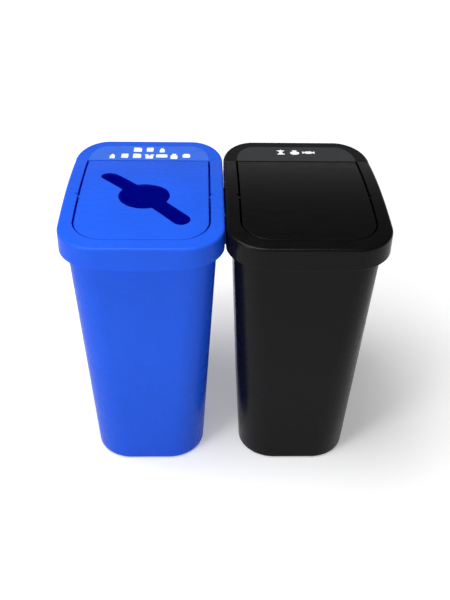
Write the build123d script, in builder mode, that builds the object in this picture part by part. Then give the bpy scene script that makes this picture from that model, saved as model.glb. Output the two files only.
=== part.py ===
from build123d import *
import math
import os

# Two-stream recycling bin station: a recycling bin and a waste bin side by side, each with a
# tapered moulded tub, a lift-off lid frame and a push flap that swings on two pivot pins.
# Frame: millimetres, +Z up, +Y to the back, +X to the waste bin; the origin is on the floor,
# midway between the bins and midway between the front and the back of the lids.

# ---- driving dimensions -------------------------------------------------------------------

LID_WIDTH = 290.0
LID_DEPTH = 427.3
STATION_HEIGHT = 545.0
LID_GAP = 2.0                     # between the two lids' skirts
FRONT_CORNER = (70.0, 65.5)       # elliptical lid corners, half axes in X and Y
BACK_CORNER = (62.6, 92.0)
WALL = 3.0                        # moulded wall of the tubs and lids

CREST_Y = -59.0                   # highest line of the arched lid
ARCH_RADIUS = 1111.0
CREASE_Y = 117.0                  # the arch ends here and the flat header begins
HEADER_SLOPE = 0.045              # fall of the header per unit of depth
TOP_EDGE_ROUND = 5.0
FLAP_EDGE_ROUND = 0.8
SKIRT_EDGE_ROUND = 1.4            # both lower edges of the skirt
SKIRT_END_Z = 499.0               # lower edge of the skirt at the sides
SKIRT_GRIP_Z = 490.0              # lower edge in the middle of the front and the back

BASE_SIZE = (216.4, 347.8)        # tub outline at the floor and at the rim
BASE_CORNER = 71.0
TOP_SIZE = (265.2, 380.0)
TOP_CORNER = 46.2
RIM_Z = 520.0
FLOOR_THICKNESS = 4.0
BASE_ROUND = 5.0
RIM_INSET = 5.0                   # rim's outer edge, inside the lid's outer wall
RIM_LIP = 14.0                    # depth of the rim's down-turned lip
RIM_THICKNESS = 2.6
SEAT_INSET = 8.5                  # rib under the lid that rests on the rim
SEAT_THICKNESS = 2.5

OPENING_HALF_WIDTH = 120.7        # lid frame's opening for the flap
OPENING_FRONT_Y = -187.8
OPENING_CORNER = 54.0
SIDE_GAP = 3.7                    # flap to frame at the sides, the front and the back
FRONT_GAP = 1.8
REAR_GAP = 1.1
PANEL_THICKNESS = 2.8
RIB_THICKNESS = 2.2
FRAME_RIB_DEPTH = 9.0
FLAP_RIB_DEPTH = 8.0
FLAP_TOP_DROP = 0.3               # the flap lies this far below the frame's surface
REAR_RIB_Y = 97.0
REAR_RIB_DEPTH = 13.0
REAR_RIB_THICKNESS = 4.0
STIFFENER_X = 58.0                # lengthwise ribs under the plain flap
LEDGE_DEPTH = 11.0                # shelf under the flap's rear edge
LEDGE_HALF_WIDTH = 110.0
LEDGE_THICKNESS = 2.6
LEDGE_CLEARANCE = 0.3

PIVOT_Y = -42.0
PIVOT_DROP = 8.0                  # pivot axis below the lid's surface
PIN_RADIUS = 2.5
PIN_CLEARANCE = 0.05
PIN_HEAD_RADIUS = 4.0
PIN_HEAD_LENGTH = 1.5
HUB_RADIUS = 6.5
HUB_LENGTH = 9.0
EAR_THICKNESS = 6.5
FLAP_OPEN_ANGLE = 75.0
STOP_REACH = (9.3, 15.5)          # stop face, measured from the pivot along the open flap
STOP_CLEARANCE = 0.35
STOP_WIDTH = 8.0
STOP_OVERLAP = 5.0                # how far the stop stands in under the flap's side rib
NOTCH_WIDTH = 4.6                 # snap-in mouth above each pin
NOTCH_DEPTH = 3.6

HOLE_CENTRE_Y = -47.4             # mixed opening: a round hole and a diagonal slot
HOLE_RADIUS = 46.6
SLOT_WIDTH = 33.2
SLOT_CAP_OFFSET = 105.7           # centres of the slot's round ends from the hole's centre
SLOT_ANGLE = -49.6
JUNCTION_RADIUS = 5.0
OPENING_LIP = 1.2                 # the panel thins to this around the mixed opening
OPENING_LIP_WIDTH = 3.0
COLLAR_DEPTH = 6.0
COLLAR_SETBACK = 6.0              # rib around the mixed opening, back from its edge

LABEL_INSET = 27.0
LABEL_THICKNESS = 0.4
LABEL_FRONT_Y = 118.6
PRINT_THICKNESS = 0.15
PRINT_ROW_Y = (139.0, 169.0)      # front and back rows of pictograms
PRINT_SINGLE_ROW_Y = 160.0
ICON_PITCH = 24.5
SINGLE_ROW_PITCH = 28.0
ICON_SCALE = 1.25                 # of the sizes drawn below

PAD_RADIUS = 12.0
PAD_THICKNESS = 3.0
PAD_STAND = 1.0                   # how far the pads hold the tubs off the floor
PAD_SPACING = (144.0, 236.0)

BRACKET_Z = (458.0, 494.0)        # just under the lids' skirts
BRACKET_WIDTH = 40.0
BRACKET_OFFSET_Y = 55.0
BRACKET_CORE_RADIUS = 8.0
SCREW_SPACING = 24.0
SCREW_RADIUS = 2.0
SCREW_HEAD_RADIUS = 4.2
SCREW_HEAD_HEIGHT = 2.6
SCREW_REACH = 12.0                # thread length inside the bracket
WASHER_RADIUS = 6.0
WASHER_THICKNESS = 1.0
WALL_HOLE_SIZE = 5.2              # square clearance holes, covered by the washers

# ---- derived dimensions ---------------------------------------------------------------------

BIN_OFFSET = (LID_WIDTH + LID_GAP) / 2
STREAMS = {"recycling": -BIN_OFFSET, "waste": BIN_OFFSET}
FLAP_HALF_WIDTH = OPENING_HALF_WIDTH - SIDE_GAP
FLAP_FRONT_Y = OPENING_FRONT_Y + FRONT_GAP
FLAP_CORNER = OPENING_CORNER - SIDE_GAP
WALL_LEAN = (TOP_SIZE[0] - BASE_SIZE[0]) / 2 / (RIM_Z - PAD_STAND)
EMBED = 1.0                       # overlap that joins ribs to the panel above them


def arch_z(y):
    """Height of the arched lid surface at depth y."""
    return STATION_HEIGHT - ARCH_RADIUS + math.sqrt(ARCH_RADIUS**2 - (y - CREST_Y) ** 2)


CREASE_Z = arch_z(CREASE_Y)
PIVOT_Z = arch_z(PIVOT_Y) - PIVOT_DROP


def header_z(y):
    """Height of the flat header surface behind the crease."""
    return CREASE_Z - HEADER_SLOPE * (y - CREASE_Y)


def surface_z(y):
    """Height of the lid's top surface at depth y."""
    return arch_z(y) if y <= CREASE_Y else header_z(y)


def tub_half_width(z):
    """Half the tub's outer width at height z, on its straight side wall."""
    return BASE_SIZE[0] / 2 + WALL_LEAN * (z - PAD_STAND)


# ---- planes ----------------------------------------------------------------------------------

def level(centre_x, z):
    """Horizontal plane over a bin's centre."""
    return Plane(origin=(centre_x, 0, z))


def side_view(x):
    """Plane facing +X, with local x along +Y and local y along +Z."""
    return Plane(origin=(x, 0, 0), x_dir=(0, 1, 0), z_dir=(1, 0, 0))


def front_view(centre_x, y):
    """Plane facing the front, with local x along +X and local y along +Z."""
    return Plane(origin=(centre_x, y, 0), x_dir=(1, 0, 0), z_dir=(0, -1, 0))


def header_plane(centre_x, lift=0.0):
    """Plane on the header, its origin below the lid's centre line, raised by lift."""
    normal = Vector(0, HEADER_SLOPE, 1).normalized()
    origin = Vector(centre_x, 0, header_z(0)) + normal * lift
    return Plane(origin=origin, x_dir=(1, 0, 0), z_dir=normal)


def screw_planes():
    """Planes on the tubs' facing outer walls, looking out of each tub into the brackets."""
    z = sum(BRACKET_Z) / 2
    planes = []
    for centre_x, side in ((-BIN_OFFSET, 1), (BIN_OFFSET, -1)):
        wall_x = centre_x + side * tub_half_width(z)
        outward = Vector(side, 0, -WALL_LEAN).normalized()
        for bracket_y in (-BRACKET_OFFSET_Y, BRACKET_OFFSET_Y):
            for screw_y in (bracket_y - SCREW_SPACING / 2, bracket_y + SCREW_SPACING / 2):
                planes.append(Plane(origin=(wall_x, screw_y, z), x_dir=(0, side, 0), z_dir=outward))
    return planes


# ---- outlines, each drawn in the current sketch ------------------------------------------------

def draw_lid_outline(inset=0.0, mode=Mode.ADD):
    """Lid's outline with elliptical corners, drawn inset from the outer wall."""
    half_x = LID_WIDTH / 2 - inset
    half_y = LID_DEPTH / 2 - inset
    front_x, front_y = (size - inset for size in FRONT_CORNER)
    back_x, back_y = (size - inset for size in BACK_CORNER)
    with BuildLine() as outline:
        EllipticalCenterArc((half_x - front_x, front_y - half_y), front_x, front_y, 270, arc_size=90)
        Line((half_x, front_y - half_y), (half_x, half_y - back_y))
        EllipticalCenterArc((half_x - back_x, half_y - back_y), back_x, back_y, 0, arc_size=90)
        Line((half_x - back_x, half_y), (back_x - half_x, half_y))
        EllipticalCenterArc((back_x - half_x, half_y - back_y), back_x, back_y, 90, arc_size=90)
        Line((-half_x, half_y - back_y), (-half_x, front_y - half_y))
        EllipticalCenterArc((front_x - half_x, front_y - half_y), front_x, front_y, 180, arc_size=90)
        Line((front_x - half_x, -half_y), (half_x - front_x, -half_y))
    make_face(outline.edges(), mode=mode)


def draw_rounded_front(half_width, front_y, back_y, corner, mode=Mode.ADD):
    """Rectangle whose two front corners are rounded, for the opening and the flap."""
    with BuildLine() as outline:
        Line((half_width, back_y), (half_width, front_y + corner))
        CenterArc((half_width - corner, front_y + corner), corner, 0, -90)
        Line((half_width - corner, front_y), (corner - half_width, front_y))
        CenterArc((corner - half_width, front_y + corner), corner, 270, -90)
        Line((-half_width, front_y + corner), (-half_width, back_y))
        Line((-half_width, back_y), (half_width, back_y))
    make_face(outline.edges(), mode=mode)


def draw_opening(grow=0.0, mode=Mode.ADD):
    """Lid frame's opening, grown outwards."""
    front_y = OPENING_FRONT_Y - grow
    draw_rounded_front(OPENING_HALF_WIDTH + grow, front_y, CREASE_Y + grow, OPENING_CORNER + grow, mode)


def draw_flap(inset=0.0, mode=Mode.ADD):
    """Flap's outline, drawn inset on the sides and the front; the back edge stays in place."""
    front_y = FLAP_FRONT_Y + inset
    draw_rounded_front(FLAP_HALF_WIDTH - inset, front_y, CREASE_Y - REAR_GAP, FLAP_CORNER - inset, mode)


def draw_mixed_opening(grow=0.0, mode=Mode.ADD):
    """Round hole with a diagonal slot through its centre and eased inner corners."""
    radius = HOLE_RADIUS + grow
    with BuildSketch() as shape:
        with Locations((0, HOLE_CENTRE_Y)):
            Circle(radius)
            SlotCenterToCenter(2 * SLOT_CAP_OFFSET, SLOT_WIDTH + 2 * grow, rotation=SLOT_ANGLE)
        centre = Vector(0, HOLE_CENTRE_Y, 0)
        junctions = [v for v in shape.vertices() if abs((Vector(v) - centre).length - radius) < 0.1]
        fillet(junctions, JUNCTION_RADIUS)
    add(shape.sketch, mode=mode)


# ---- solids under the lid's arched surface ------------------------------------------------------

def below_surface(drop):
    """Everything below the lid's top surface lowered by drop, over both bins."""
    with BuildPart() as below:
        with BuildSketch(side_view(-LID_WIDTH * 1.5)):
            with BuildLine():
                ThreePointArc(
                    (-LID_DEPTH, arch_z(-LID_DEPTH) - drop),
                    (CREST_Y, STATION_HEIGHT - drop),
                    (CREASE_Y, CREASE_Z - drop),
                )
                Polyline(
                    (CREASE_Y, CREASE_Z - drop),
                    (LID_DEPTH, header_z(LID_DEPTH) - drop),
                    (LID_DEPTH, 0),
                    (-LID_DEPTH, 0),
                    (-LID_DEPTH, arch_z(-LID_DEPTH) - drop),
                )
            make_face()
        extrude(amount=LID_WIDTH * 3)
    return below.part


def arched_layer(outline, top_drop, bottom_drop):
    """Layer over an outline, between two depths below the lid's top surface."""
    top = below_surface(top_drop)
    bottom = below_surface(bottom_drop)
    with BuildPart() as layer:
        extrude(outline, amount=STATION_HEIGHT)
        add(top, mode=Mode.INTERSECT)
        add(bottom, mode=Mode.SUBTRACT)
    return layer.part


def edges_at_drop(edges, drop):
    """The edges that lie the given depth below the lid's top surface."""
    return [edge for edge in edges if abs(edge.center().Z - surface_z(edge.center().Y) + drop) < 0.1]


# ---- tubs -----------------------------------------------------------------------------------------

def draw_tub_section(z, inset=0.0):
    """Tub's rounded outline at height z, drawn inset from the outer wall."""
    rise = (z - PAD_STAND) / (RIM_Z - PAD_STAND)
    width = BASE_SIZE[0] + (TOP_SIZE[0] - BASE_SIZE[0]) * rise - 2 * inset
    depth = BASE_SIZE[1] + (TOP_SIZE[1] - BASE_SIZE[1]) * rise - 2 * inset
    corner = BASE_CORNER + (TOP_CORNER - BASE_CORNER) * rise - inset
    RectangleRounded(width, depth, corner)


def pad_planes(centre_x, z):
    """Four places on a tub's base for its pads."""
    return [
        Plane(origin=(centre_x + x * PAD_SPACING[0] / 2, y * PAD_SPACING[1] / 2, z))
        for x in (-1, 1)
        for y in (-1, 1)
    ]


def tub_cavity(centre_x):
    """Tub's inner space, from its floor to above the rim."""
    floor_z = PAD_STAND + FLOOR_THICKNESS
    with BuildPart() as cavity:
        for z in (floor_z, RIM_Z + 1):
            with BuildSketch(level(centre_x, z)):
                draw_tub_section(z, WALL)
        loft(ruled=True)
        fillet(cavity.faces().sort_by(Axis.Z)[0].edges(), BASE_ROUND)
    return cavity.part


def make_bin_body(stream, centre_x):
    """Tapered tub with a flanged, down-turned rim and seats for its pads."""
    cavity = tub_cavity(centre_x)
    with BuildPart() as bin_body:
        for z in (PAD_STAND, RIM_Z):
            with BuildSketch(level(centre_x, z)):
                draw_tub_section(z)
        loft(ruled=True)
        fillet(bin_body.faces().sort_by(Axis.Z)[0].edges(), BASE_ROUND)
        with BuildSketch(level(centre_x, RIM_Z - RIM_THICKNESS)):
            draw_lid_outline(RIM_INSET)
        extrude(amount=RIM_THICKNESS)
        with BuildSketch(level(centre_x, RIM_Z - RIM_LIP)):
            draw_lid_outline(RIM_INSET)
            draw_lid_outline(RIM_INSET + RIM_THICKNESS, mode=Mode.SUBTRACT)
        extrude(amount=RIM_LIP)
        add(cavity, mode=Mode.SUBTRACT)
        for seat in pad_planes(centre_x, PAD_STAND):
            with BuildSketch(seat):
                Circle(PAD_RADIUS)
            extrude(amount=PAD_THICKNESS - PAD_STAND, mode=Mode.SUBTRACT)
        for plane in screw_planes():
            if plane.origin.X * centre_x > 0:
                with BuildSketch(side_view(plane.origin.X)):
                    with Locations((plane.origin.Y, plane.origin.Z)):
                        Rectangle(WALL_HOLE_SIZE, WALL_HOLE_SIZE)
                extrude(amount=2 * WALL, both=True, mode=Mode.SUBTRACT)
    return finish(bin_body.part, f"{stream}_bin_body")


def make_foot_pads(stream, centre_x):
    """Four round anti-slip pads seated in the tub's base."""
    with BuildPart() as foot_pads:
        for place in pad_planes(centre_x, 0):
            with BuildSketch(place):
                Circle(PAD_RADIUS)
            extrude(amount=PAD_THICKNESS)
    return finish(foot_pads.part, f"{stream}_foot_pads")


# ---- lids -----------------------------------------------------------------------------------------

def lid_hollow(centre_x):
    """Space inside the lid's skirt, under its panel."""
    with BuildPart() as hollow:
        with BuildSketch(level(centre_x, 0)):
            draw_lid_outline(WALL)
        extrude(amount=STATION_HEIGHT)
        add(below_surface(WALL), mode=Mode.INTERSECT)
    return hollow.part


def seat_rib(centre_x):
    """Rib under the lid that rests on the tub's rim."""
    with BuildPart() as rib:
        with BuildSketch(level(centre_x, RIM_Z)):
            draw_lid_outline(SEAT_INSET)
            draw_lid_outline(SEAT_INSET + SEAT_THICKNESS, mode=Mode.SUBTRACT)
        extrude(amount=STATION_HEIGHT - RIM_Z)
        add(below_surface(EMBED), mode=Mode.INTERSECT)
    return rib.part


def opening_rib(centre_x):
    """Stiffening rib around the underside of the lid's opening."""
    with BuildSketch(level(centre_x, 0)) as ring:
        draw_opening(RIB_THICKNESS)
        draw_opening(mode=Mode.SUBTRACT)
    return arched_layer(ring.sketch, EMBED, FRAME_RIB_DEPTH)


def rear_ledge(centre_x):
    """Shelf that holds the closed flap up under its rear edge."""
    top_drop = FLAP_TOP_DROP + PANEL_THICKNESS + LEDGE_CLEARANCE
    with BuildSketch(level(centre_x, 0)) as shelf:
        with Locations((0, CREASE_Y + EMBED)):
            Rectangle(2 * LEDGE_HALF_WIDTH, LEDGE_DEPTH + EMBED, align=(Align.CENTER, Align.MAX))
    return arched_layer(shelf.sketch, top_drop, top_drop + LEDGE_THICKNESS)


def draw_ear():
    """Side view of a pivot ear, hanging from the lid's panel."""
    with Locations((PIVOT_Y, PIVOT_Z)):
        Circle(HUB_RADIUS)
        Rectangle(2 * HUB_RADIUS, PIVOT_DROP - EMBED, align=(Align.CENTER, Align.MIN))


def draw_stop(top_z):
    """Side view of a flap stop, its front face along the underside of the open flap."""
    lean = math.radians(FLAP_OPEN_ANGLE)
    shift = STOP_CLEARANCE / math.sin(lean)
    front = [
        (PIVOT_Y - reach * math.cos(lean) + shift, PIVOT_Z - reach * math.sin(lean))
        for reach in STOP_REACH
    ]
    back_y = front[0][0] + STOP_WIDTH
    top = [(back_y, top_z), (front[0][0], top_z)]
    Polygon(front[0], front[1], (back_y, front[1][1]), *top, align=None)


def make_lid_frame(stream, centre_x):
    """Arched lid with a skirt, the flap's opening, pivot ears, flap stops and a rear ledge."""
    underside = [seat_rib(centre_x), opening_rib(centre_x), rear_ledge(centre_x)]
    surface = below_surface(0)
    hollow = lid_hollow(centre_x)
    with BuildPart() as lid_frame:
        with BuildSketch(level(centre_x, SKIRT_GRIP_Z)):
            draw_lid_outline()
        extrude(amount=STATION_HEIGHT - SKIRT_GRIP_Z)
        add(surface, mode=Mode.INTERSECT)
        top_edges = edges_at_drop(lid_frame.edges(), 0)
        fillet([edge for edge in top_edges if abs(edge.center().Y - CREASE_Y) > EMBED], TOP_EDGE_ROUND)
        add(hollow, mode=Mode.SUBTRACT)
        with BuildSketch(front_view(centre_x, 0)):
            with BuildLine():
                ThreePointArc((-LID_WIDTH / 2, SKIRT_END_Z), (0, SKIRT_GRIP_Z), (LID_WIDTH / 2, SKIRT_END_Z))
                Polyline(
                    (LID_WIDTH / 2, SKIRT_END_Z),
                    (LID_WIDTH, SKIRT_END_Z),
                    (LID_WIDTH, 0),
                    (-LID_WIDTH, 0),
                    (-LID_WIDTH, SKIRT_END_Z),
                    (-LID_WIDTH / 2, SKIRT_END_Z),
                )
            make_face()
        extrude(amount=LID_DEPTH, both=True, mode=Mode.SUBTRACT)
        outer_z = SKIRT_END_Z + EMBED
        skirt_edges = lid_frame.edges().filter_by_position(Axis.Z, SKIRT_GRIP_Z - EMBED, outer_z)
        fillet(skirt_edges, SKIRT_EDGE_ROUND)
        with BuildSketch(level(centre_x, RIM_Z)):
            draw_opening()
        extrude(amount=STATION_HEIGHT - RIM_Z, mode=Mode.SUBTRACT)
        for rib in underside:
            add(rib)
        for side in (-1, 1):
            face_x = centre_x + side * OPENING_HALF_WIDTH
            with BuildSketch(side_view(face_x)):
                draw_ear()
                draw_stop(PIVOT_Z + PIVOT_DROP - EMBED)
            extrude(amount=side * EAR_THICKNESS)
            with BuildSketch(side_view(face_x - side * STOP_OVERLAP)):
                draw_stop(PIVOT_Z - STOP_REACH[0] * math.sin(math.radians(FLAP_OPEN_ANGLE)))
            extrude(amount=side * STOP_OVERLAP)
            with BuildSketch(side_view(face_x)):
                with Locations((PIVOT_Y, PIVOT_Z)):
                    Circle(PIN_RADIUS + PIN_CLEARANCE)
            extrude(amount=side * EAR_THICKNESS, mode=Mode.SUBTRACT)
            with BuildSketch(side_view(face_x)):
                with Locations((PIVOT_Y, PIVOT_Z)):
                    Rectangle(NOTCH_WIDTH, 2 * PIVOT_DROP, align=(Align.CENTER, Align.MIN))
            extrude(amount=side * NOTCH_DEPTH, mode=Mode.SUBTRACT)
    return finish(lid_frame.part, f"{stream}_lid_frame")


# ---- flaps ----------------------------------------------------------------------------------------

def draw_stiffeners(has_opening):
    """Ribs under a flap: one around the mixed opening, or two lengthwise ones."""
    if has_opening:
        draw_mixed_opening(COLLAR_SETBACK + RIB_THICKNESS)
        draw_mixed_opening(COLLAR_SETBACK, mode=Mode.SUBTRACT)
    else:
        length = REAR_RIB_Y - FLAP_FRONT_Y
        for x in (-STIFFENER_X, STIFFENER_X):
            with Locations((x, REAR_RIB_Y)):
                Rectangle(RIB_THICKNESS, length, align=(Align.CENTER, Align.MAX))


def make_flap(stream, centre_x, has_opening):
    """Arched push flap with edge ribs, stiffeners, a heavier rear rib and two pivot hubs."""
    with BuildSketch(level(centre_x, 0)) as whole:
        draw_flap()
    with BuildSketch(level(centre_x, 0)) as edge:
        draw_flap()
        draw_rounded_front(
            FLAP_HALF_WIDTH - RIB_THICKNESS,
            FLAP_FRONT_Y + RIB_THICKNESS,
            CREASE_Y,
            FLAP_CORNER - RIB_THICKNESS,
            mode=Mode.SUBTRACT,
        )
    with BuildSketch(level(centre_x, 0)) as stiffeners:
        draw_stiffeners(has_opening)
    with BuildSketch(level(centre_x, 0)) as rear:
        with Locations((0, REAR_RIB_Y)):
            Rectangle(2 * FLAP_HALF_WIDTH - RIB_THICKNESS, REAR_RIB_THICKNESS)
    with BuildSketch(level(centre_x, 0)) as thinned:
        draw_mixed_opening(OPENING_LIP_WIDTH)
    panel_bottom = FLAP_TOP_DROP + PANEL_THICKNESS
    lip_recess = arched_layer(thinned.sketch, FLAP_TOP_DROP + OPENING_LIP, panel_bottom + EMBED)
    rib_top = FLAP_TOP_DROP + EMBED
    layers = [
        arched_layer(whole.sketch, FLAP_TOP_DROP, panel_bottom),
        arched_layer(edge.sketch, rib_top, FLAP_RIB_DEPTH),
        arched_layer(stiffeners.sketch, rib_top, FLAP_TOP_DROP + COLLAR_DEPTH),
        arched_layer(rear.sketch, rib_top, REAR_RIB_DEPTH),
    ]
    with BuildPart() as flap:
        for layer in layers:
            add(layer)
        for side in (-1, 1):
            outer_x = centre_x + side * FLAP_HALF_WIDTH
            with BuildSketch(side_view(outer_x)):
                with Locations((PIVOT_Y, PIVOT_Z)):
                    Circle(HUB_RADIUS)
            extrude(amount=-side * HUB_LENGTH)
            with BuildSketch(side_view(outer_x)):
                with Locations((PIVOT_Y, PIVOT_Z)):
                    Circle(PIN_RADIUS)
            extrude(amount=-side * HUB_LENGTH, mode=Mode.SUBTRACT)
        if has_opening:
            with BuildSketch(level(centre_x, RIM_Z)):
                draw_mixed_opening()
            extrude(amount=STATION_HEIGHT - RIM_Z, mode=Mode.SUBTRACT)
            add(lip_recess, mode=Mode.SUBTRACT)
        fillet(edges_at_drop(flap.edges(), FLAP_TOP_DROP), FLAP_EDGE_ROUND)
    return finish(flap.part, f"{stream}_flap")


def make_pivot_pin(stream, centre_x, side, side_name):
    """Headed pin, pressed into the flap's hub and turning in the lid's ear."""
    inner_x = centre_x + side * (FLAP_HALF_WIDTH - HUB_LENGTH)
    length = HUB_LENGTH + SIDE_GAP + EAR_THICKNESS
    with BuildPart() as pin:
        with BuildSketch(side_view(inner_x)):
            with Locations((PIVOT_Y, PIVOT_Z)):
                Circle(PIN_RADIUS)
        extrude(amount=side * length)
        tip = pin.faces().filter_by(Axis.X).sort_by(Axis.X)[-1 if side > 0 else 0]
        chamfer(tip.edges(), PIN_RADIUS / 5)
        with BuildSketch(side_view(inner_x)):
            with Locations((PIVOT_Y, PIVOT_Z)):
                Circle(PIN_HEAD_RADIUS)
        extrude(amount=-side * PIN_HEAD_LENGTH)
    return finish(pin.part, f"{stream}_pivot_pin_{side_name}")


# ---- labels ---------------------------------------------------------------------------------------

def make_label(stream, centre_x):
    """Thin label on the header behind the flap."""
    with BuildPart() as label:
        with BuildSketch(header_plane(centre_x)):
            draw_lid_outline(LABEL_INSET)
            with Locations((0, LABEL_FRONT_Y)):
                Rectangle(LID_WIDTH, LID_DEPTH, align=(Align.CENTER, Align.MAX), mode=Mode.SUBTRACT)
        extrude(amount=LABEL_THICKNESS)
    return finish(label.part, f"{stream}_label")


def draw_bottle():
    """Bottle with a neck."""
    Rectangle(8, 10, align=(Align.CENTER, Align.MAX))
    Polygon((-4, 0), (4, 0), (1.7, 4), (-1.7, 4), align=None)
    Rectangle(3.4, 6, align=(Align.CENTER, Align.MIN))


def draw_can():
    """Can with two seams."""
    RectangleRounded(11, 16, 1.5)
    with Locations((0, 5.4), (0, -5.4)):
        Rectangle(11, 0.9, mode=Mode.SUBTRACT)


def draw_sheet():
    """Sheet of paper with a cut corner."""
    Polygon((-6.5, -8), (6.5, -8), (6.5, 4), (2.5, 8), (-6.5, 8), align=None)


def draw_carton():
    """Drinks carton with a folded top."""
    Rectangle(11, 11, align=(Align.CENTER, Align.MAX))
    Polygon((-5.5, 0.9), (5.5, 0.9), (2.5, 6), (-2.5, 6), align=None)
    with Locations((0, 6)):
        Rectangle(6, 2.2, align=(Align.CENTER, Align.MIN))


def draw_envelope():
    """Envelope with its flap's fold."""
    Rectangle(18, 12)
    with BuildLine() as fold:
        Polyline((-9, 6), (0, -1), (9, 6), (9, 4.8), (0, -2.2), (-9, 4.8), close=True)
    make_face(fold.edges(), mode=Mode.SUBTRACT)


def draw_jar():
    """Jar with a lid."""
    RectangleRounded(12, 12, 2.5)
    with Locations((0, 7.2)):
        Rectangle(8.5, 2.2)


def draw_box():
    """Open cardboard box."""
    Rectangle(12, 10, align=(Align.CENTER, Align.MAX))
    Polygon((-6, 0.9), (-0.5, 0.9), (-2.5, 5.5), (-8, 5.5), align=None)
    Polygon((6, 0.9), (0.5, 0.9), (2.5, 5.5), (8, 5.5), align=None)


def draw_apple_core():
    """Apple core with a stalk."""
    Rectangle(12, 16)
    with Locations((-9, 0), (9, 0)):
        Circle(6.5, mode=Mode.SUBTRACT)
    with Locations((0, 8)):
        Rectangle(1.2, 3, align=(Align.CENTER, Align.MIN))


def draw_sack():
    """Tied sack."""
    with Locations((0, -2)):
        Ellipse(7.5, 6.5)
    Polygon((-1.6, 3), (1.6, 3), (4.2, 8.5), (-4.2, 8.5), align=None)


def draw_wrapper():
    """Sweet wrapper with twisted ends."""
    RectangleRounded(11, 9, 2)
    Polygon((4, 0), (10, 4.5), (10, -4.5), align=None)
    Polygon((-4, 0), (-10, -4.5), (-10, 4.5), align=None)


FRONT_ROW = [draw_bottle, draw_can, draw_sheet, draw_box, draw_envelope, draw_carton, draw_jar]
BACK_ROW = [draw_sheet, draw_can, draw_bottle]
WASTE_ROW = [draw_apple_core, draw_sack, draw_wrapper]


def make_label_print(stream, centre_x, rows):
    """Raised ink pictograms on the label, in rows given as (depth, pitch, icons)."""
    surface = header_plane(centre_x, LABEL_THICKNESS)
    with BuildPart() as label_print:
        for row_y, pitch, icons in rows:
            for place, draw_icon in enumerate(icons):
                x = (place - (len(icons) - 1) / 2) * pitch
                icon_origin = surface.from_local_coords((x, row_y, 0))
                with BuildSketch(Plane(origin=icon_origin, x_dir=surface.x_dir, z_dir=surface.z_dir)):
                    draw_icon()
                    scale(by=ICON_SCALE)
                extrude(amount=PRINT_THICKNESS)
    return finish(label_print.part, f"{stream}_label_print")


# ---- what joins the two bins -----------------------------------------------------------------------

def make_link_bracket(name, bracket_y):
    """Spacer block between the tubs' facing walls, with screw holes in both ends."""
    half_bottom, half_top = (BIN_OFFSET - tub_half_width(z) for z in BRACKET_Z)
    with BuildPart() as bracket:
        with BuildSketch(front_view(0, bracket_y)):
            Polygon(
                (-half_bottom, BRACKET_Z[0]),
                (half_bottom, BRACKET_Z[0]),
                (half_top, BRACKET_Z[1]),
                (-half_top, BRACKET_Z[1]),
                align=None,
            )
        extrude(amount=BRACKET_WIDTH / 2, both=True)
        with BuildSketch(Plane(origin=(0, bracket_y, BRACKET_Z[0]))):
            Circle(BRACKET_CORE_RADIUS)
        extrude(amount=BRACKET_Z[1] - BRACKET_Z[0], mode=Mode.SUBTRACT)
        for plane in screw_planes():
            if plane.origin.Y * bracket_y > 0:
                with BuildSketch(plane):
                    Circle(SCREW_RADIUS)
                extrude(amount=SCREW_REACH, mode=Mode.SUBTRACT)
    return finish(bracket.part, name)


def make_link_screws():
    """Pan-head screws from inside each tub into the brackets, one solid each."""
    seat = -WALL * math.cos(math.atan(WALL_LEAN)) - WASHER_THICKNESS
    with BuildPart() as link_screws:
        for plane in screw_planes():
            with BuildSketch(plane.offset(seat)):
                Circle(SCREW_RADIUS)
            extrude(amount=SCREW_REACH - seat)
            with BuildSketch(plane.offset(seat - SCREW_HEAD_HEIGHT)):
                Circle(SCREW_HEAD_RADIUS)
            extrude(amount=SCREW_HEAD_HEIGHT)
    return finish(link_screws.part, "link_screws")


def make_link_washers():
    """Flat washers between the screw heads and the tubs' walls."""
    seat = -WALL * math.cos(math.atan(WALL_LEAN)) - WASHER_THICKNESS
    with BuildPart() as link_washers:
        for plane in screw_planes():
            with BuildSketch(plane.offset(seat)):
                Circle(WASHER_RADIUS)
                Circle(SCREW_RADIUS, mode=Mode.SUBTRACT)
            extrude(amount=WASHER_THICKNESS)
    return finish(link_washers.part, "link_washers")


# ---- the station ------------------------------------------------------------------------------------

def finish(part, name):
    """Label a finished piece and write its STEP file."""
    part.label = name
    export_step(part, f"parts/{name}.step")
    return part


os.makedirs("parts", exist_ok=True)

LABEL_ROWS = {
    "recycling": [(PRINT_ROW_Y[0], ICON_PITCH, FRONT_ROW), (PRINT_ROW_Y[1], ICON_PITCH, BACK_ROW)],
    "waste": [(PRINT_SINGLE_ROW_Y, SINGLE_ROW_PITCH, WASTE_ROW)],
}

for stream, centre_x in STREAMS.items():
    make_bin_body(stream, centre_x)
    make_foot_pads(stream, centre_x)
    make_lid_frame(stream, centre_x)
    make_flap(stream, centre_x, has_opening=stream == "recycling")
    make_pivot_pin(stream, centre_x, -1, "left")
    make_pivot_pin(stream, centre_x, 1, "right")
    make_label(stream, centre_x)
    make_label_print(stream, centre_x, LABEL_ROWS[stream])

make_link_bracket("link_bracket_front", -BRACKET_OFFSET_Y)
make_link_bracket("link_bracket_rear", BRACKET_OFFSET_Y)
make_link_screws()
make_link_washers()
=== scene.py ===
import math

import bpy
from mathutils import Matrix, Vector

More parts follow.
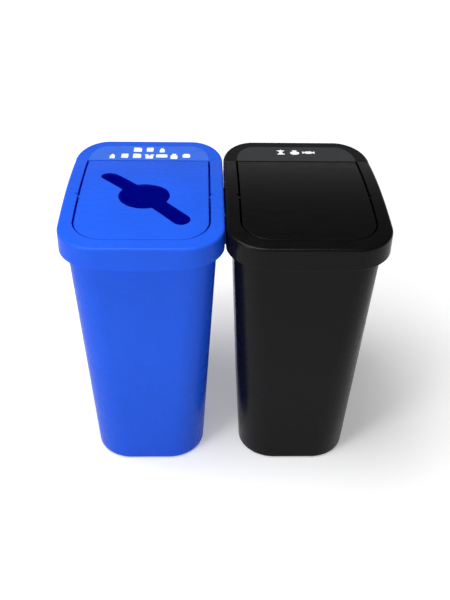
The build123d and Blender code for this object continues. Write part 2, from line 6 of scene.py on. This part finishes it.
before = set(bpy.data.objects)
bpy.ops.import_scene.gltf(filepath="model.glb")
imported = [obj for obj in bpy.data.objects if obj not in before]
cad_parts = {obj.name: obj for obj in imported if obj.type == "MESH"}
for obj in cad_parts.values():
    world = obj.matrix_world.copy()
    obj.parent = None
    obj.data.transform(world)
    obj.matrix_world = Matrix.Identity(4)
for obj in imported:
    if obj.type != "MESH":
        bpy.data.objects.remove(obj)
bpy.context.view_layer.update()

MM = 0.001
STREAMS = ("recycling", "waste")

# Colours are linear RGB.
BLUE = (0.020, 0.127, 0.80)
BLUE_GLOW = (0.0, 0.02, 0.98)
BLUE_GLOW_SHARE = 0.30
BLACK = (0.0034, 0.0034, 0.0037)
BLUE_LABEL = (0.030, 0.125, 0.62)
BLACK_LABEL = (0.022, 0.023, 0.025)
INK = (0.86, 0.89, 0.93)
NYLON = (0.012, 0.012, 0.013)

# Lengths are in metres, angles in degrees and the lens in millimetres.
FLOOR_HALF = 6.0
FLOOR_GLOW_RADIUS = 2.5
FLOOR_GLOW = {"rim": 0.85, "middle": 0.34}
HORIZON_GREY = 0.42
ZENITH_GREY = 0.0
ZENITH_HEIGHT = 0.75
LIGHT_TARGET = (0, 0, 0.45)

CAMERA_PLACE = (-0.04163, -1.4501, 1.32546)
CAMERA_DOWN = 35.87
CAMERA_TURN = -1.895
CAMERA_ROLL = 1.241
CAMERA_LENS = 52.62


# ---- materials ------------------------------------------------------------------------------

def new_material(name, color, roughness, specular):
    """Principled material with its constant values on the shader's own sockets."""
    material = bpy.data.materials.new(name)
    material.use_nodes = True
    shader = material.node_tree.nodes["Principled BSDF"]
    shader.inputs["Base Color"].default_value = (*color, 1)
    shader.inputs["Roughness"].default_value = roughness
    shader.inputs["Specular IOR Level"].default_value = specular
    return material, shader


def noise(tree, scale, detail=3.0, stretch=(1, 1, 1)):
    """Noise texture in the object's own metres, stretched along its axes."""
    place = tree.nodes.new("ShaderNodeTexCoord")
    mapping = tree.nodes.new("ShaderNodeMapping")
    mapping.inputs["Scale"].default_value = stretch
    texture = tree.nodes.new("ShaderNodeTexNoise")
    texture.inputs["Scale"].default_value = scale
    texture.inputs["Detail"].default_value = detail
    tree.links.new(place.outputs["Object"], mapping.inputs["Vector"])
    tree.links.new(mapping.outputs["Vector"], texture.inputs["Vector"])
    return texture.outputs["Fac"]


def ramp(tree, value, low, high, low_at=0.35, high_at=0.65):
    """Colour ramp between two colours, or two greys given as numbers."""
    node = tree.nodes.new("ShaderNodeValToRGB")
    ends = node.color_ramp.elements
    for end, at, color in ((ends[0], low_at, low), (ends[1], high_at, high)):
        end.position = at
        end.color = (color, color, color, 1) if isinstance(color, (int, float)) else (*color, 1)
    tree.links.new(value, node.inputs["Fac"])
    return node.outputs["Color"]


def bump(tree, height, distance, strength, normal=None):
    """Bump node, stacked on an earlier one when it is given."""
    node = tree.nodes.new("ShaderNodeBump")
    node.inputs["Distance"].default_value = distance
    node.inputs["Strength"].default_value = strength
    tree.links.new(height, node.inputs["Height"])
    if normal is not None:
        tree.links.new(normal, node.inputs["Normal"])
    return node.outputs["Normal"]


def let_light_through(material, color, share):
    """Mix in a translucent share, for a wall that glows where light falls on its far side."""
    tree = material.node_tree
    shader = tree.nodes["Principled BSDF"]
    glow = tree.nodes.new("ShaderNodeBsdfTranslucent")
    glow.inputs["Color"].default_value = (*color, 1)
    mix = tree.nodes.new("ShaderNodeMixShader")
    mix.inputs["Fac"].default_value = share
    tree.links.new(shader.outputs["BSDF"], mix.inputs[1])
    tree.links.new(glow.outputs["BSDF"], mix.inputs[2])
    tree.links.new(mix.outputs["Shader"], tree.nodes["Material Output"].inputs["Surface"])


def moulded_plastic(name, color, roughness=0.28, specular=0.10, variation=0.06):
    """Satin injection-moulded plastic: faint flow mottling, fine grain and soft handling marks."""
    material, shader = new_material(name, color, roughness, specular)
    tree = material.node_tree
    dark = tuple(c * (1 - variation) for c in color)
    light = tuple(min(1, c * (1 + variation)) for c in color)
    flow = noise(tree, 7, 4, (1, 1, 0.35))
    tree.links.new(ramp(tree, flow, dark, light, 0.3, 0.7), shader.inputs["Base Color"])
    marks = noise(tree, 28, 8, (1, 2.6, 1))
    tree.links.new(ramp(tree, marks, roughness - 0.05, roughness + 0.06), shader.inputs["Roughness"])
    grain = bump(tree, noise(tree, 1500, 2), 0.05 * MM, 0.35)
    ripple = bump(tree, noise(tree, 16, 2), 0.35 * MM, 0.06, grain)
    tree.links.new(ripple, shader.inputs["Normal"])
    return material


def printed_film(name, color):
    """Label film: smoother than the lid, with a faint printed mottle."""
    material, shader = new_material(name, color, 0.3, 0.3)
    tree = material.node_tree
    low = tuple(c * 0.95 for c in color)
    high = tuple(min(1, c * 1.05) for c in color)
    tree.links.new(ramp(tree, noise(tree, 40, 5), low, high), shader.inputs["Base Color"])
    tree.links.new(ramp(tree, noise(tree, 60, 4), 0.27, 0.36), shader.inputs["Roughness"])
    tree.links.new(bump(tree, noise(tree, 700, 2), 0.03 * MM, 0.25), shader.inputs["Normal"])
    return material


def ink(name, color):
    """Screen-printed ink with a slightly uneven coat."""
    material, shader = new_material(name, color, 0.45, 0.3)
    tree = material.node_tree
    thin = tuple(c * 0.93 for c in color)
    tree.links.new(ramp(tree, noise(tree, 300, 4), thin, color), shader.inputs["Base Color"])
    tree.links.new(bump(tree, noise(tree, 1800, 2), 0.02 * MM, 0.3), shader.inputs["Normal"])
    return material


def rubber(name):
    """Matt black rubber with a fine tooth."""
    material, shader = new_material(name, (0.02, 0.02, 0.021), 0.8, 0.3)
    tree = material.node_tree
    tone = ramp(tree, noise(tree, 90, 5), (0.016, 0.016, 0.017), (0.03, 0.03, 0.031))
    tree.links.new(tone, shader.inputs["Base Color"])
    tree.links.new(bump(tree, noise(tree, 2200, 3), 0.08 * MM, 0.5), shader.inputs["Normal"])
    return material


def zinc(name):
    """Zinc-plated steel with fine turning marks and a cloudy coat."""
    material, shader = new_material(name, (0.56, 0.57, 0.6), 0.35, 0.5)
    shader.inputs["Metallic"].default_value = 1
    tree = material.node_tree
    tone = ramp(tree, noise(tree, 220, 6), (0.46, 0.47, 0.5), (0.64, 0.64, 0.66))
    tree.links.new(tone, shader.inputs["Base Color"])
    tree.links.new(ramp(tree, noise(tree, 500, 5), 0.28, 0.45), shader.inputs["Roughness"])
    tree.links.new(bump(tree, noise(tree, 3000, 2), 0.02 * MM, 0.4), shader.inputs["Normal"])
    return material


def floor_paint(name):
    """White light table that glows more towards its rim."""
    material, shader = new_material(name, (0.8, 0.8, 0.8), 0.9, 0.1)
    shader.inputs["Emission Strength"].default_value = 1
    tree = material.node_tree
    tree.links.new(ramp(tree, noise(tree, 2, 2), 0.79, 0.81), shader.inputs["Base Color"])
    place = tree.nodes.new("ShaderNodeTexCoord")
    mapping = tree.nodes.new("ShaderNodeMapping")
    mapping.inputs["Scale"].default_value = [1 / FLOOR_GLOW_RADIUS] * 3
    distance = tree.nodes.new("ShaderNodeTexGradient")
    distance.gradient_type = "SPHERICAL"
    tree.links.new(place.outputs["Object"], mapping.inputs["Vector"])
    tree.links.new(mapping.outputs["Vector"], distance.inputs["Vector"])
    glow = ramp(tree, distance.outputs["Fac"], FLOOR_GLOW["rim"], FLOOR_GLOW["middle"], 0.1, 0.85)
    tree.links.new(glow, shader.inputs["Emission Color"])
    return material


def wear(node, material):
    """Give a CAD node its finish."""
    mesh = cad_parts[node].data
    mesh.materials.clear()
    mesh.materials.append(material)


plastic = {
    "recycling": moulded_plastic("blue_plastic", BLUE),
    "waste": moulded_plastic("black_plastic", BLACK),
}
let_light_through(plastic["recycling"], BLUE_GLOW, BLUE_GLOW_SHARE)
film = {
    "recycling": printed_film("blue_film", BLUE_LABEL),
    "waste": printed_film("black_film", BLACK_LABEL),
}
white_ink = ink("white_ink", INK)
pad_rubber = rubber("pad_rubber")
nylon = moulded_plastic("bracket_nylon", NYLON, 0.5, 0.3)
plated = zinc("plated_steel")

for stream in STREAMS:
    for part in ("bin_body", "lid_frame", "flap", "pivot_pin_left", "pivot_pin_right"):
        wear(f"{stream}_{part}", plastic[stream])
    wear(f"{stream}_label", film[stream])
    wear(f"{stream}_label_print", white_ink)
    wear(f"{stream}_foot_pads", pad_rubber)
for name in ("link_bracket_front", "link_bracket_rear"):
    wear(name, nylon)
for name in ("link_screws", "link_washers"):
    wear(name, plated)


# ---- floor, light and camera ------------------------------------------------------------------

def add_floor():
    """Wide plane under the station."""
    mesh = bpy.data.meshes.new("floor")
    signs = ((-1, -1), (1, -1), (1, 1), (-1, 1))
    corners = [(x * FLOOR_HALF, y * FLOOR_HALF, 0) for x, y in signs]
    mesh.from_pydata(corners, [], [(0, 1, 2, 3)])
    mesh.materials.append(floor_paint("floor_paint"))
    floor = bpy.data.objects.new("floor", mesh)
    bpy.context.scene.collection.objects.link(floor)


def add_softbox(name, place, energy, size):
    """Rectangular softbox at a place, facing the lids, with its energy in watts."""
    light = bpy.data.lights.new(name, "AREA")
    light.shape = "RECTANGLE"
    light.size, light.size_y = size
    light.energy = energy
    lamp = bpy.data.objects.new(name, light)
    lamp.location = place
    lamp.rotation_mode = "QUATERNION"
    lamp.rotation_quaternion = (Vector(LIGHT_TARGET) - Vector(place)).to_track_quat("-Z", "Y")
    bpy.context.scene.collection.objects.link(lamp)


def add_world():
    """Surroundings that fade from a pale horizon to a dark ceiling."""
    world = bpy.data.worlds.new("studio")
    world.use_nodes = True
    tree = world.node_tree
    place = tree.nodes.new("ShaderNodeTexCoord")
    split = tree.nodes.new("ShaderNodeSeparateXYZ")
    fade = tree.nodes.new("ShaderNodeValToRGB")
    ends = fade.color_ramp.elements
    for end, height, grey in ((ends[0], 0.0, HORIZON_GREY), (ends[1], ZENITH_HEIGHT, ZENITH_GREY)):
        end.position = height
        end.color = (grey, grey, grey, 1)
    tree.links.new(place.outputs["Generated"], split.inputs["Vector"])
    tree.links.new(split.outputs["Z"], fade.inputs["Fac"])
    tree.links.new(fade.outputs["Color"], tree.nodes["Background"].inputs["Color"])
    bpy.context.scene.world = world


def add_camera():
    """Camera in front of the station and above it, nearly level and nearly square on."""
    place = Vector(CAMERA_PLACE)
    down, turn, roll = (math.radians(angle) for angle in (CAMERA_DOWN, CAMERA_TURN, CAMERA_ROLL))
    forward = Vector((-math.sin(turn) * math.cos(down), math.cos(turn) * math.cos(down), -math.sin(down)))
    right = Vector((math.cos(turn), math.sin(turn), 0))
    up = right.cross(forward)
    rolled_right = math.cos(roll) * right + math.sin(roll) * up
    rolled_up = math.cos(roll) * up - math.sin(roll) * right
    data = bpy.data.cameras.new("camera")
    data.sensor_width = 36.0
    data.lens = CAMERA_LENS
    camera = bpy.data.objects.new("camera", data)
    axes = Matrix((rolled_right, rolled_up, -forward)).transposed()
    camera.matrix_world = Matrix.Translation(place) @ axes.to_4x4()
    bpy.context.scene.collection.objects.link(camera)
    bpy.context.scene.camera = camera


add_floor()
add_world()
add_softbox("overhead", (-0.5, -0.25, 2.6), 66, (1.5, 1.5))
add_softbox("front_left", (-1.8, -1.8, 1.4), 28, (0.9, 0.9))
add_softbox("front_fill", (-0.4, -2.6, 1.9), 5, (1.8, 1.2))
add_camera()
bpy.context.scene.view_settings.view_transform = "Standard"
